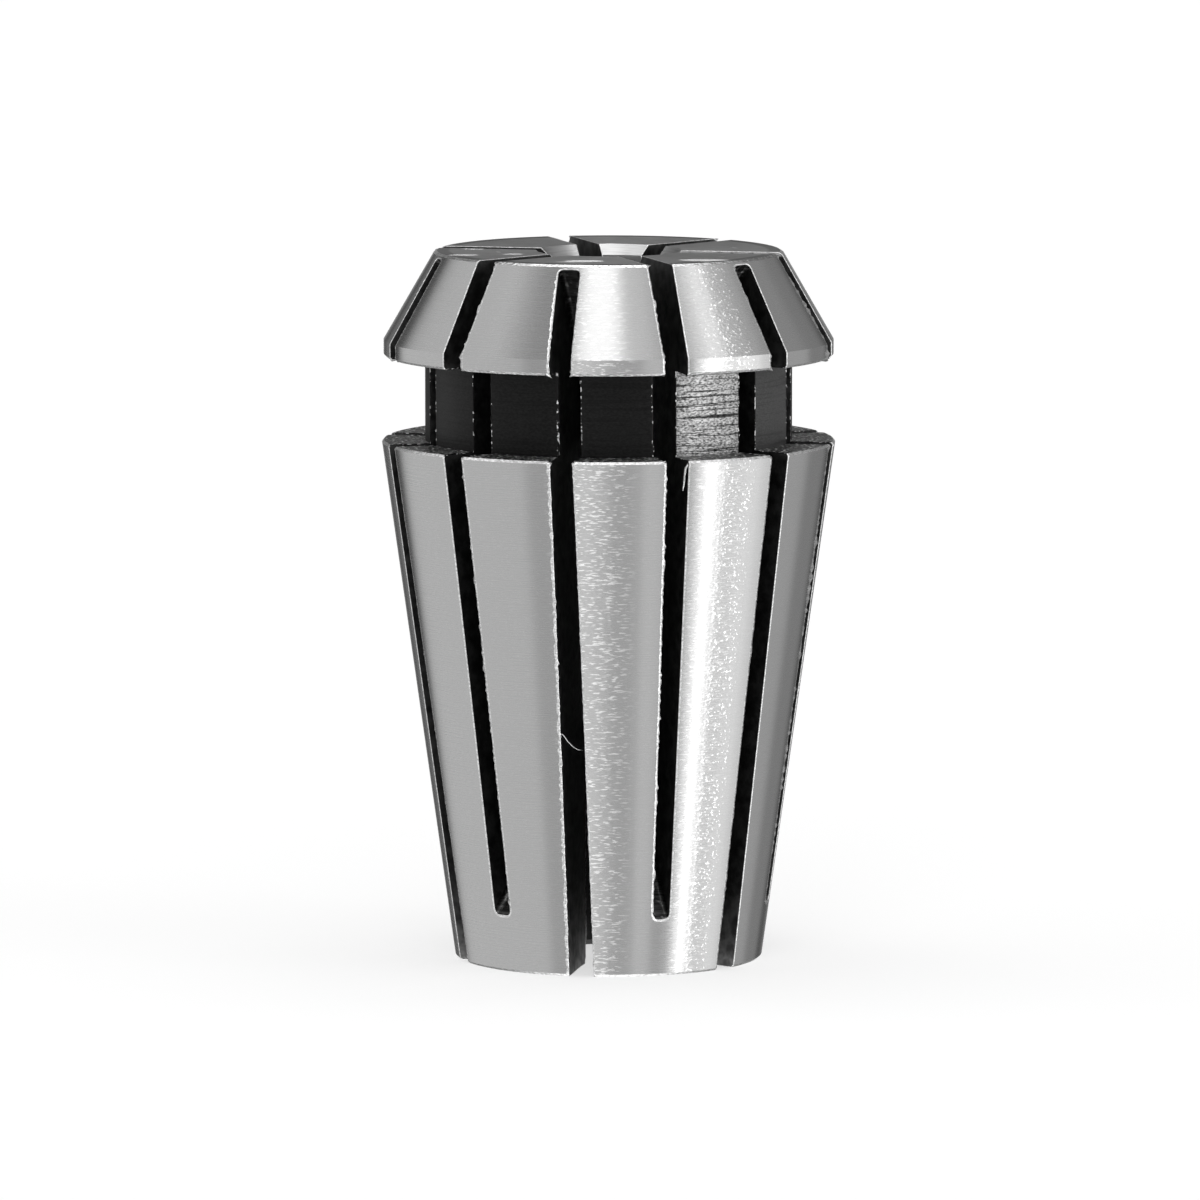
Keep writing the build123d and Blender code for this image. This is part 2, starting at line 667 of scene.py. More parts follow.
def build_edge(s):
    """Two strips of faces round a slot's edge; returns the wall's point at each place."""
    saw = slots[s]
    start, end = open_rows[s]
    loop = edge_loop(start, end)
    burr = {side: burr_heights(end - start + 1, edge_burr[s, side]) for side in (-1, 1)}
    lines = []  # (skin, middle, wall) at each place of the loop
    for row, side, share in loop:
        j = row % row_count
        if side == 0:
            skin = inner[s, j][across.index(share)]
            burr_here = 0
        else:
            skin = (high_side if side > 0 else low_side)[s, j]
            burr_here = burr[side][row - start] * corner_burr.get(stations[j].zone.name, 1)
        place, facing = wall_spot(saw, j, side, share)
        wall = add_point(slot_angle[s], *place, facing)
        middle = middle_spot(s, j, skin, place, facing, burr_here)
        lines.append((skin, add_point(slot_angle[s], *middle), wall))
    for i, (row, _, _) in enumerate(loop):
        in_groove = stations[row % row_count].zone.name in ("ledge", "groove", "underside")
        add_band(lines[i], lines[(i + 1) % len(loop)], LEDGE if in_groove else EDGE)
    return {place: line[2] for place, line in zip(loop, lines)}


# %% [markdown]
# ## Inside a slot
#
# What shows inside a slot is the round that the blade left at its closed end, and the two flat
# walls. The round is a narrow grid of its own: its columns run down the blade's rim, from the
# place where it shows outside to the place where it leaves the bore. The walls are flat, so
# each one is a single face with many corners, which takes light evenly.

# %% The round of the closed end
arc_rows = 26


def end_columns(wall_at, row, direction):
    """(point, share, step) along a place where the blade's rim shows, from side to side."""
    rows = [row + direction * n for n in range(len(corner_steps))]
    low = [(wall_at[r, -1, None], -1, a) for r, a in zip(reversed(rows), reversed(corner_steps))]
    flat = [(wall_at[row, 0, share], share, 0) for share in across]
    high = [(wall_at[r, 1, None], 1, a) for r, a in zip(rows, corner_steps)]
    return low + flat + high


def rim_turn(s, point):
    """The angle round the saw's axis at which a point lies."""
    x, _, z = in_slot_frame(s, point)
    return atan2(slots[s].axis_rise - slots[s].rise(z), saw_axis - x)


def end_column(s, top, bottom, share, step):
    """Points down the blade's rim, between two points of the slot's edge."""
    saw = slots[s]
    a, b = rim_turn(s, top), rim_turn(s, bottom)
    radius = saw_radius - saw_corner * (1 - cos(step))
    side = (share > 0) - (share < 0)
    column = [top]
    for n in range(1, arc_rows):
        turn = a + (b - a) * n / arc_rows
        x = saw_axis - radius * cos(turn)
        z = saw.closed_z + saw.upward * (saw.axis_rise - radius * sin(turn))
        y = share * (saw.half_width(z) - saw_corner + saw_corner * sin(step))
        facing = (cos(turn) * cos(step), -side * sin(step), saw.upward * sin(turn) * cos(step))
        column.append(add_point(slot_angle[s], x, y, z, facing))
    return column + [bottom]


# %% Build the inside of one slot
def build_closed_end(s, wall_at):
    """The grid on the blade's round; returns its columns."""
    start, end = open_rows[s]
    ends = zip(end_columns(wall_at, start, 1), end_columns(wall_at, end, -1))
    columns = [
        end_column(s, top, bottom, share, step) for (top, share, step), (bottom, _, _) in ends
    ]
    for here, there in zip(columns, columns[1:]):
        add_band(here, there, SAWN)
    return columns


def build_walls(s, wall_at, columns):
    """The two flat walls, each one face: up the slot's edge, and back along the blade's round."""
    start, end = open_rows[s]
    corner_rows = len(corner_steps) - 1
    inside = range(start + corner_rows, end - corner_rows + 1)
    high = [wall_at[j, 1, None] for j in inside]
    low = [wall_at[j, -1, None] for j in inside]
    faces.append((tuple(high + columns[-1][-2:0:-1]), WALL, None))
    faces.append((tuple(reversed(low + columns[0][-2:0:-1])), WALL, None))


for s in range(slot_count):
    wall_at = build_edge(s)
    build_walls(s, wall_at, build_closed_end(s, wall_at))
print("points:", len(points), "faces:", len(faces))

# %% [markdown]
# ## Two slivers that the brush left
#
# Here and there a hair of metal still hangs in a slot. Each is a thin five-sided tube along a
# short path, given as (outwards, across, height) in the slot's own frame, with its root inside
# the jaw so that it grows out of the wall. A curve with a bevel would do as well, but it would
# be one object more to join to the mesh.

# %% Add the slivers
sliver_sides = 5
sliver_taper = 0.6  # share of its thickness that a sliver has lost at its tip


def sliver_ring(s, spot, along, half):
    """A ring of points round a sliver's path."""
    sideways = along.cross(Vector((1, 0, 0))).normalized()
    forwards = sideways.cross(along)
    turns = [2 * pi * n / sliver_sides for n in range(sliver_sides)]
    corners = [spot + (sideways * cos(a) + forwards * sin(a)) * half for a in turns]
    return [add_point(slot_angle[s], *corner) for corner in corners]


def add_sliver(s, path, thickness):
    """A sliver in slot s along a path in mm."""
    path = [Vector(p) * MM for p in path]
    last = len(path) - 1
    rings = []
    for i, spot in enumerate(path):
        along = (path[min(i + 1, last)] - path[max(i - 1, 0)]).normalized()
        half = thickness / 2 * (1 - sliver_taper * i / last)
        rings.append(sliver_ring(s, spot, along, half))
    for here, there in zip(rings, rings[1:]):
        add_strip([*here, here[0]], [*there, there[0]], EDGE)
    faces.append((tuple(reversed(rings[0])), EDGE, None))
    faces.append((tuple(rings[-1]), EDGE, None))


curl = [(4.66, -0.36, 6.24), (4.7, -0.27, 6.26), (4.74, -0.2, 6.22), (4.74, -0.1, 6.06),
        (4.7, 0.0, 5.93), (4.66, 0.1, 5.86), (4.62, 0.2, 5.84)]
spike = [(5.6, 0.36, 13.1), (5.62, 0.27, 13.08), (5.62, 0.22, 13.0), (5.6, 0.2, 12.8),
         (5.57, 0.19, 12.6), (5.53, 0.175, 12.44)]
add_sliver(MID_LEFT, curl, 0.035 * MM)
add_sliver(MID_RIGHT, spike, 0.11 * MM)
print("points with the slivers:", len(points))

# %% [markdown]
# ## Nothing is quite true
#
# The segments move a little when the collet is hardened and set, so no slot stands exactly on a
# line through the axis: each leans by a degree or two from end to end. The whole net of points
# is turned about the axis by an amount that depends on the height and on the nearest slots.
# Doing it at the end keeps the building simple, and as it is only a turn, no radius and no
# height changes: the collet still fits its seat.

# %% How each slot leans and spreads
# degrees at mid-height, degrees per millimetre
slot_set = [(shake.uniform(-0.3, 0.3), shake.uniform(-0.16, -0.08)) for _ in range(slot_count)]
slot_set[FAR_LEFT] = (-0.32, -0.19)
slot_set[MID_LEFT] = (0.45, -0.14)
slot_set[MID_RIGHT] = (-0.45, -0.11)
slot_set[FAR_RIGHT] = (0.42, -0.05)

# extra width at the rear and at the nose, mm: the jaws of one collet never open alike
slot_spread = [(0.02, 0.03)] * slot_count
slot_spread[FAR_LEFT] = (0.04, 0.055)
slot_spread[MID_LEFT] = (0.055, 0.085)
slot_spread[MID_RIGHT] = (-0.03, 0.06)
slot_spread[FAR_RIGHT] = (0.06, 0.13)

middle_height = round(overall_length / MM, 3) / 2  # mm
spread_reach = 0.18 * MM  # beside a slot's middle plane, where its whole spread has come in
spread_fade = radians(4)  # before a jaw's middle, where it has gone again
print("slots lean by, degrees per mm:", [round(lean, 2) for _, lean in slot_set])


# %% Turn the points a little out of true
def out_of_true(x, y, z):
    """The turn in radians at a point, blended between the slots on its two sides."""
    at = (atan2(y, x) / slot_pitch + 0.5) % slot_count
    n = int(at)
    height = z / MM - middle_height
    before, after = slot_set[n % slot_count], slot_set[(n + 1) % slot_count]
    turn_before, turn_after = (middle + lean * height for middle, lean in (before, after))
    turn = radians(turn_before + (turn_after - turn_before) * (at - n))
    off = (at - round(at)) * slot_pitch
    r = hypot(x, y)
    at_rear, at_nose = slot_spread[round(at) % slot_count]
    spread = (at_rear + (at_nose - at_rear) * z / overall_length) * MM
    share = min(max(r * sin(off) / spread_reach, -1), 1)
    fade = min(1, (slot_pitch / 2 - abs(off)) / spread_fade)
    return turn + share * fade * spread / 2 / r


turns = [out_of_true(*p) for p in points]
points = [turned_by(p, a) for p, a in zip(points, turns)]
point_normal = [n and turned_by(n, a) for n, a in zip(point_normal, turns)]
print("most turn in degrees:", round(degrees(max(abs(a) for a in turns)), 2))

# %% [markdown]
# ## One closed mesh
#
# The points and faces become one mesh. A piece of metal has no holes in its surface, so every
# edge must be shared by exactly two faces, and the volume must come out close to that of the
# solid. Counting the one and adding up the other takes a moment and finds most slips.

# %% Make the mesh and check it
mesh = bpy.data.meshes.new("ground_collet")
mesh.from_pydata(points, [], [f[0] for f in faces])
mesh.update()
uses = Counter(key for polygon in mesh.polygons for key in polygon.edge_keys)
print("edges not shared by two faces:", sum(1 for n in uses.values() if n != 2))
volume = sum(p.area * p.normal.dot(p.center) for p in mesh.polygons) / 3
print("volume in cubic mm:", round(volume / MM**3, 1))

# %% [markdown]
# ## Exact normals
#
# Blender can average the normals of neighbouring faces, but on bright metal the average shows:
# at a jaw's edge it is half a column off, and the reflection bends there. The zones are cones,
# so their true normals are known, and they are given to the mesh corner by corner. On the edge
# strips the normal turns from the skin's to the wall's, which is what a rounded edge does.

# %% Give the mesh its normals
def spun(point, normal):
    """A normal of the outline, turned about the axis to where the point stands."""
    x, y, _ = points[point]
    r = hypot(x, y)
    return (normal.x * x / r, normal.x * y / r, normal.y)


skin_normal = {}  # of the points beside the slots
for s, (start, end) in enumerate(open_rows):
    for row in range(start, end + 1):
        j = row % row_count
        for point in (low_side[s, j], high_side[s, j], *inner.get((s, j), [])):
            skin_normal[point] = spun(point, insets[j].normal)


def corner_normal(point, polygon, finish, zone_name):
    """The normal of a face's corner; (0, 0, 0) leaves it to Blender."""
    if zone_name is not None:
        return spun(point, zone_normal[zone_name])
    if finish == WALL:
        return tuple(polygon.normal)
    if point_normal[point] is not None:
        return point_normal[point]
    return skin_normal.get(point, (0, 0, 0))


mesh.polygons.foreach_set("use_smooth", [True] * len(faces))
mesh.polygons.foreach_set("material_index", [f[1] for f in faces])
corner_normals = []
for polygon, (_, finish, zone_name) in zip(mesh.polygons, faces):
    for point in polygon.vertices:
        corner_normals.append(corner_normal(point, polygon, finish, zone_name))
mesh.normals_split_custom_set(corner_normals)
mesh.update()
collet = bpy.data.objects.new("ground_collet", mesh)
scene.collection.objects.link(collet)
print("corner normals:", len(corner_normals))

# %% [markdown]
# ## How far from the solid?
#
# The dressed collet must still be the collet that was drawn. So the distance from each of its
# points to the CAD solid is measured with a tree of the solid's faces, which finds the nearest
# place fast. The middle one shows how true the skin is, and the most should be that of a sliver.

# %% Compare with the CAD solid
solid = BVHTree.FromObject(collet_node, bpy.context.evaluated_depsgraph_get())
away = sorted(solid.find_nearest(Vector(p))[3] for p in points)
print("distance from the solid in mm: middle", round(away[len(away) // 2] / MM, 4),
      "most", round(away[-1] / MM, 4))

# %% [markdown]
# ## Helpers for the finishes
#
# Every finish is a small tree of nodes. The helpers below make a node with its settings, and
# the few shapes of nodes that come back in every finish. The most used is a noise whose grains
# have a real size: `along` is their length round the collet and `up` their height. It is read
# in object coordinates, so there is no seam anywhere.

# %% Nodes and their inputs
def new_finish(name):
    material = bpy.data.materials.new(name)
    material.use_nodes = True
    return material, material.node_tree, material.node_tree.nodes["Principled BSDF"]


def plug(tree, made, inputs):
    """Links each input of a node to a socket, or sets it to a plain value."""
    for key, value in inputs.items():
        if isinstance(value, bpy.types.NodeSocket):
            tree.links.new(value, made.inputs[key])
        else:
            made.inputs[key].default_value = value


def node(tree, kind, inputs=None, **settings):
    made = tree.nodes.new(kind)
    for key, value in settings.items():
        setattr(made, key, value)
    plug(tree, made, inputs or {})
    return made


# %% Sums, tones and relief
def maths(tree, operation, a, b=0.0):
    return node(tree, "ShaderNodeMath", {0: a, 1: b}, operation=operation).outputs[0]


def product(tree, *values):
    """All the values multiplied together."""
    made = values[0]
    for value in values[1:]:
        made = maths(tree, "MULTIPLY", made, value)
    return made


def vector_maths(tree, operation, a, b=(0, 0, 0)):
    return node(tree, "ShaderNodeVectorMath", {0: a, 1: b}, operation=operation).outputs


def grey(tree, value):
    channels = {"Red": value, "Green": value, "Blue": value}
    return node(tree, "ShaderNodeCombineColor", channels).outputs[0]


def mix(tree, factor, a, b):
    return node(tree, "ShaderNodeMix", {"Factor": factor, 2: a, 3: b}, data_type="FLOAT").outputs[0]


def ramp(tree, value, low, high, to_low=0.0, to_high=1.0):
    """Maps low..high to to_low..to_high, softly and clamped."""
    limits = {"From Min": low, "From Max": high, "To Min": to_low, "To Max": to_high}
    made = node(tree, "ShaderNodeMapRange", {"Value": value, **limits},
                interpolation_type="SMOOTHSTEP")
    return made.outputs["Result"]


def bump(tree, height, distance, under=None):
    inputs = {"Height": height, "Distance": distance, "Strength": 1.0}
    if under is not None:
        inputs["Normal"] = under
    return node(tree, "ShaderNodeBump", inputs).outputs["Normal"]


# %% Keep the finishes
finish_of = {}  # finish number -> material


def keep_finish(number, material):
    finish_of[number] = material
    print(material.name, "has", len(material.node_tree.nodes), "nodes")


# %% Places and directions
def place_of(tree):
    return node(tree, "ShaderNodeTexCoord").outputs["Object"]


def height_of(tree, place):
    return node(tree, "ShaderNodeSeparateXYZ", {0: place}).outputs["Z"]


def grains(tree, along, up, detail=2.0, rough=0.5, shift=0.0):
    """Noise from 0 to 1 with grains of the given size."""
    scaled = vector_maths(tree, "MULTIPLY", place_of(tree), (1 / along, 1 / along, 1 / up))[0]
    moved = vector_maths(tree, "ADD", scaled, (shift, shift, shift))[0]
    look = {"Vector": moved, "Scale": 1.0, "Detail": detail, "Roughness": rough}
    return node(tree, "ShaderNodeTexNoise", look).outputs["Fac"]


def level_part(tree, vector):
    """The vector's part across the axis, with length 1."""
    flat = vector_maths(tree, "MULTIPLY", vector, (1, 1, 0))[0]
    return vector_maths(tree, "NORMALIZE", flat)[0]


def sector(tree, level, angle, half_width, softness):
    """1 where a level direction lies within half_width of the angle, all in degrees."""
    middle = (cos(radians(angle)), sin(radians(angle)), 0)
    facing = vector_maths(tree, "DOT_PRODUCT", level, middle)["Value"]
    inner_edge = cos(radians(max(half_width - softness / 2, 0)))
    outer_edge = cos(radians(min(half_width + softness / 2, 180)))
    return ramp(tree, facing, min(outer_edge, inner_edge - 1e-4), inner_edge)


def spread_by_marks(tree, shader, anisotropy):
    """Tells the shader that the tool's marks run round the axis."""
    tangent = node(tree, "ShaderNodeTangent", direction_type="RADIAL", axis="Z").outputs[0]
    quarter_turn = 0.25  # the marks run along the tangent, not across it
    plug(tree, shader, {"Anisotropic": anisotropy, "Anisotropic Rotation": quarter_turn,
                        "Tangent": tangent})


# %% [markdown]
# ## Ground steel
#
# The taper, the land and the nose cone are ground between centres, so their marks run round the
# collet. Marks that run one way spread a reflection the other way: each lamp becomes a tall
# upright streak. The shader does this with anisotropy, and the tangent node tells it which way
# the marks run. The noise adds what the shader's even gloss lacks: fine long lines, short
# streaks where the wheel dug in, and tiny torn spots that sparkle beside a bright reflection.
# Streaks and spots are also painted brighter than the skin round them: painted sheen and painted
# glints where the lamps' reflections fall, over marks whose bumps are real.

# %% Where the wheel dug in
# the deepest marks lie where the lamps' reflections fall, and there they are also painted bright
# direction in degrees, half width, softness, depth
streaked = [(-98, 9, 8, 1.0), (-64, 7, 6, 0.4)]
pitted = [(-58.5, 4.5, 3, 1.0), (-64, 4, 3, 0.3)]
everywhere = 0.04  # depth of the marks on the rest of the steel


def dug_in(tree, level, places):
    """Depth of the marks: that of each place in its sector, and little everywhere else."""
    depth = everywhere
    for angle, half_width, softness, most in places:
        here = product(tree, sector(tree, level, angle, half_width, softness), most)
        depth = maths(tree, "MAXIMUM", depth, here)
    return depth


# %% Ground steel
streak_height, pit_height, line_height = 0.006, 0.005, 0.00025  # mm
on_cone_share = 0.3  # of the streaks' depth: the cone was ground by another, finer wheel
cone_edge = 0.05 * MM

ground_steel, tree, shader = new_finish("ground_steel")
place = place_of(tree)
level = level_part(tree, place)
on_cone = ramp(tree, height_of(tree, place), cone_height - cone_edge, cone_height + cone_edge)
lines = grains(tree, 1.6 * MM, 0.022 * MM, detail=1)
streaks = grains(tree, 0.2 * MM, 0.036 * MM, detail=1, shift=7)
pits = grains(tree, 0.075 * MM, 0.065 * MM, detail=1, shift=19)
cone_share = mix(tree, on_cone, 1.0, on_cone_share)
streak_depth = product(tree, dug_in(tree, level, streaked), cone_share)
pit_depth = dug_in(tree, level, pitted)
# painted sheen and painted glints: streaks and pits in those sectors are painted up to white
torn_and_painted_sheen = product(tree, ramp(tree, streaks, 0.56, 0.67, 0.0, 0.65), streak_depth)
painted_glints = product(tree, ramp(tree, pits, 0.62, 0.69), pit_depth)
relief = maths(
    tree, "ADD",
    maths(tree, "ADD", product(tree, streaks, streak_depth, streak_height),
          product(tree, pits, pit_depth, pit_height)),
    product(tree, lines, line_height),
)
plug(tree, shader, {
    "Base Color": grey(tree, mix(tree, maths(tree, "MAXIMUM", torn_and_painted_sheen, painted_glints), 0.45, 1.0)),
    "Metallic": 1.0,
    "Roughness": ramp(tree, lines, 0.3, 0.7, 0.25, 0.28),
    "Normal": bump(tree, relief, MM),
})
spread_by_marks(tree, shader, 0.95)
keep_finish(GROUND, ground_steel)

# %% [markdown]
# ## The turned groove
#
# The groove was never ground, so it keeps the black skin of the heat treatment over the rows
# that the turning tool left. On one jaw the nut's ring has rubbed the skin off the tops of the
# rows, and on its neighbour only thinned it. All three are the same two noises, long rows and
# small crumbs, with other tones, so one function makes them. A picture of a worn groove would
# be quicker, but it would repeat itself and blur close up.

# %% Turned groove: dark, worn and rubbed
def groove_finish(name, skin_tones, row_tone, metal, gloss, roughness, depth):
    """Rows and crumbs; row_tone is how bright the bottom of a row is beside its top."""
    material, tree, shader = new_finish(name)
    rows = grains(tree, 3.0 * MM, 0.062 * MM, detail=3, rough=0.6)
    crumbs = grains(tree, 0.08 * MM, 0.036 * MM, detail=3, shift=5)
    skin = ramp(tree, crumbs, 0.25, 0.75, *skin_tones)
    cut = ramp(tree, rows, 0.39, 0.46, row_tone, 1.0)
    crumb_depth = 0.4 * depth
    plug(tree, shader, {
        "Base Color": grey(tree, product(tree, skin, cut)),
        "Metallic": metal,
        "Specular IOR Level": gloss,
        "Roughness": roughness,
        "Normal": bump(tree, crumbs, crumb_depth, under=bump(tree, rows, depth)),
    })
    return material


keep_finish(DARK, groove_finish(
    "dark_turned_steel", (0.002, 0.01), 0.6, metal=0.0, gloss=0.12, roughness=0.38,
    depth=0.008 * MM))
keep_finish(WORN, groove_finish(
    "worn_turned_steel", (0.015, 0.04), 0.45, metal=0.0, gloss=0.4, roughness=0.42,
    depth=0.01 * MM))
keep_finish(RUBBED, groove_finish(
    "rubbed_turned_steel", (0.02, 0.44), 0.12, metal=1.0, gloss=0.5, roughness=0.28,
    depth=0.014 * MM))

# %% [markdown]
# ## The ledge
#
# The flat ledge above the taper has the same black skin, but the brush has touched it, so bare
# specks of steel shine through. A noise with a narrow ramp gives such specks: what lies under
# the ramp is skin, what lies over it is steel, and few places lie between.

# %% Dark ledge with specks of bare steel
dark_ledge, tree, shader = new_finish("speckled_ledge")
specks = grains(tree, 0.1 * MM, 0.1 * MM, detail=1, shift=11)
plug(tree, shader, {
    "Base Color": grey(tree, ramp(tree, specks, 0.54, 0.66, 0.015, 0.9)),
    "Metallic": 1.0,
    "Roughness": ramp(tree, specks, 0.52, 0.64, 0.35, 0.7),
    "Normal": bump(tree, specks, 0.01 * MM),
})
keep_finish(LEDGE, dark_ledge)

# %% [markdown]
# ## The slot walls
#
# A slot's walls are sawn before the heat treatment, so they turn nearly black in it. Near the rear
# mouth the walls are painted lighter, as a painted reflection, and the top of one slot's wall is
# painted bright, as a painted highlight along its rim. Both depend on where the wall is, so they
# are ramps over the height, and the highlight is also held to the sector of its slot.

# %% Slot walls
slot_wall, tree, shader = new_finish("dark_sawn_wall")
sheen_full_up_to, dark_from = 0.4 * MM, 2.6 * MM  # at the rear mouth
highlight_full_below_top, highlight_starts_below_top = 0.08 * MM, 0.13 * MM  # below the nose face
place = place_of(tree)
high = height_of(tree, place)
scale_skin = grains(tree, 0.3 * MM, 0.3 * MM, detail=4)
dark_tone = ramp(tree, scale_skin, 0.3, 0.75, 0.03, 0.1)
# painted reflection: near the rear mouth the walls are painted up to three times lighter
painted_sheen_low = ramp(tree, high, sheen_full_up_to, dark_from, 3.0, 1.0)
# painted highlight: a thin bright band at the top of the wall of the slot at the right rim
near_top = ramp(tree, high, overall_length - highlight_starts_below_top, overall_length - highlight_full_below_top)
highlight_slot = sector(tree, level_part(tree, place), -12, 8, 3)  # a slot at the right rim
patchy = ramp(tree, scale_skin, 0.3, 0.5, 0.3, 1.0)
painted_rim_highlight = product(tree, near_top, highlight_slot, patchy)
plug(tree, shader, {
    "Base Color": grey(tree, mix(tree, painted_rim_highlight, product(tree, dark_tone, painted_sheen_low), 0.8)),
    "Metallic": 1.0,
    "Roughness": 0.5,
    "Normal": bump(tree, scale_skin, 0.01 * MM),
})
keep_finish(WALL, slot_wall)

# %% [markdown]
# ## The turned end faces
#
# The end faces are turned, so fine rings run round the axis and spread a reflection outwards.
# The rings are a noise along one line only, the radius. On the nose face pale patches are painted
# as painted glints, five large ones at set places and small smears in between, and a dark ring is
# painted at its rim as a painted dark reflection of the edge. The glints are ellipses whose border
# a second noise makes ragged, which is simpler than painting a mask, and each one can be moved by
# its two numbers.

# %% Rings and painted glints of the end faces
turned_face, tree, shader = new_finish("turned_face")
ring_spacing = 0.05 * MM
glint_smear_length, glint_smear_depth = 2.0 * MM, 0.42 * MM
place = place_of(tree)
flat_place = vector_maths(tree, "MULTIPLY", place, (1, 1, 0))[0]
radius = vector_maths(tree, "LENGTH", flat_place)["Value"]
ring_places = {"W": maths(tree, "DIVIDE", radius, ring_spacing), "Scale": 1.0, "Detail": 2.0}
rings = node(tree, "ShaderNodeTexNoise", ring_places, noise_dimensions="1D").outputs["Fac"]
cloud = ramp(tree, grains(tree, 0.5 * MM, 0.5 * MM, detail=3), 0.3, 0.7, 0.32, 0.4)

parts = node(tree, "ShaderNodeSeparateXYZ", {0: place}).outputs
turn = maths(tree, "ARCTAN2", parts["Y"], parts["X"])
round_it = node(tree, "ShaderNodeCombineXYZ", {
    "X": product(tree, turn, front_radius / glint_smear_length),
    "Y": maths(tree, "DIVIDE", radius, glint_smear_depth),
}).outputs[0]
glint_smear_look = {"Vector": round_it, "Scale": 1.0, "Detail": 1.0}
# painted glints: small pale smears from a noise stretched round the face
painted_glint_smears = node(tree, "ShaderNodeTexNoise", glint_smear_look).outputs["Fac"]
painted_glint_smears = ramp(tree, painted_glint_smears, 0.68, 0.73, 0.0, 0.4)
print("end face nodes so far:", len(tree.nodes))

# %% Painted glints of the nose face
# painted glints: place, half length and half depth, in mm
face_glint_spots = [(-3.43, 0.51, 0.32, 0.24), (-3.7, -1.21, 0.42, 0.24), (-2.44, -1.0, 0.3, 0.2),
          (-0.83, -3.09, 0.45, 0.27), (2.2, -3.0, 0.6, 0.32)]
wobble = grains(tree, 0.5 * MM, 0.5 * MM, detail=2, shift=31)
for x, y, half_long, half_deep in face_glint_spots:
    offset = vector_maths(tree, "SUBTRACT", place, (x * MM, y * MM, 0))[0]
    size = (1 / (half_long * MM), 1 / (half_deep * MM), 0)
    scaled = vector_maths(tree, "MULTIPLY", offset, size)[0]
    away_from_it = vector_maths(tree, "LENGTH", scaled)["Value"]
    face_glint = ramp(tree, maths(tree, "ADD", away_from_it, wobble), 1.2, 1.7, 1.0, 0.0)
    painted_glint_smears = maths(tree, "MAXIMUM", painted_glint_smears, face_glint)
rings_left = ramp(tree, rings, 0.35, 0.6, 0.35, 1.0)  # the rings still show in a painted glint
on_nose = ramp(tree, parts["Z"], cone_height, overall_length)
painted_glint_smears = product(tree, painted_glint_smears, rings_left, on_nose)
# painted dark reflection: the outer rim of the nose face is painted nearly black
dark_from_rim, plain_from_rim = 0.3 * MM, 0.42 * MM
painted_dark_rim = ramp(tree, radius, front_radius - plain_from_rim, front_radius - dark_from_rim)
face_tone = mix(tree, painted_dark_rim, cloud, 0.05)
plug(tree, shader, {
    "Base Color": grey(tree, mix(tree, painted_glint_smears, face_tone, 0.95)),
    "Roughness": mix(tree, painted_glint_smears, 0.3, 0.75),
    "Metallic": mix(tree, painted_glint_smears, 1.0, 0.5),
    "Normal": bump(tree, painted_glint_smears, 0.03 * MM, under=bump(tree, rings, 0.004 * MM)),
})
spread_by_marks(tree, shader, 0.6)
keep_finish(TURNED, turned_face)

# %% [markdown]
# ## The honed bore
#
# The bore is honed, so its marks are long, fine and shallow. Its rear half is painted dark, as
# painted shade deep inside the bore, and its nose half keeps its plain tone; the dark rear also
# keeps it from shining through the slots.

# %% Honed bore
honed_bore, tree, shader = new_finish("honed_bore")
dark_up_to, bright_from = 9 * MM, 13 * MM
hone_lines = grains(tree, 0.8 * MM, 0.03 * MM, detail=3)
# painted shade: the bore is painted nearly black up to dark_up_to, and plain from bright_from
painted_bore_shade = ramp(tree, height_of(tree, place_of(tree)), dark_up_to, bright_from, 0.04, 1.0)
bore_tone = product(tree, ramp(tree, hone_lines, 0.3, 0.7, 0.4, 0.5), painted_bore_shade)
plug(tree, shader, {
    "Base Color": grey(tree, bore_tone),
    "Metallic": 1.0,
    "Roughness": 0.3,
    "Normal": bump(tree, hone_lines, 0.003 * MM),
})
keep_finish(HONED, honed_bore)

# %% [markdown]
# ## Dressed edges and sawn ends
#
# The dressed edges are bare bright steel with nicks from the file. The round closed ends of the
# slots show the marks of the saw's teeth, and hold a little grey swarf that the brush never
# reached. Both are narrow, so a noise or two for tone and bump is enough.

# %% Dressed edges
bare_edge, tree, shader = new_finish("dressed_edge")
nicks = grains(tree, 0.08 * MM, 0.05 * MM, detail=2)
plug(tree, shader, {
    "Base Color": grey(tree, ramp(tree, nicks, 0.3, 0.7, 0.5, 0.9)),
    "Metallic": 1.0,
    "Roughness": 0.32,
    "Normal": bump(tree, nicks, 0.012 * MM),
})
keep_finish(EDGE, bare_edge)

# %% Sawn closed ends
sawn_end, tree, shader = new_finish("sawn_end")
tooth_marks = grains(tree, 0.5 * MM, 0.04 * MM, detail=2)
swarf_grains = grains(tree, 0.2 * MM, 0.2 * MM, detail=3, shift=13)
swarf = ramp(tree, swarf_grains, 0.54, 0.68, 0.0, 0.25)
sawn_tone = maths(tree, "ADD", ramp(tree, tooth_marks, 0.3, 0.7, 0.02, 0.1), swarf)
plug(tree, shader, {
    "Base Color": grey(tree, sawn_tone),
    "Metallic": 1.0,
    "Roughness": 0.42,
    "Normal": bump(tree, tooth_marks, 0.01 * MM),
})
keep_finish(SAWN, sawn_end)

# %% [markdown]
# ## Dress the solid
#
# Each face of the mesh has carried the number of its finish since it was made, so the materials
# only have to be put in the mesh in that order. Then the frame is told that this object stands
# in for the CAD solid, and that it stays with the collet's one body.

# %% Put the finishes on the collet
for number in sorted(finish_of):
    mesh.materials.append(finish_of[number])
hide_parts("collet")
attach(collet, "root")
print("finishes:", [m.name for m in mesh.materials])

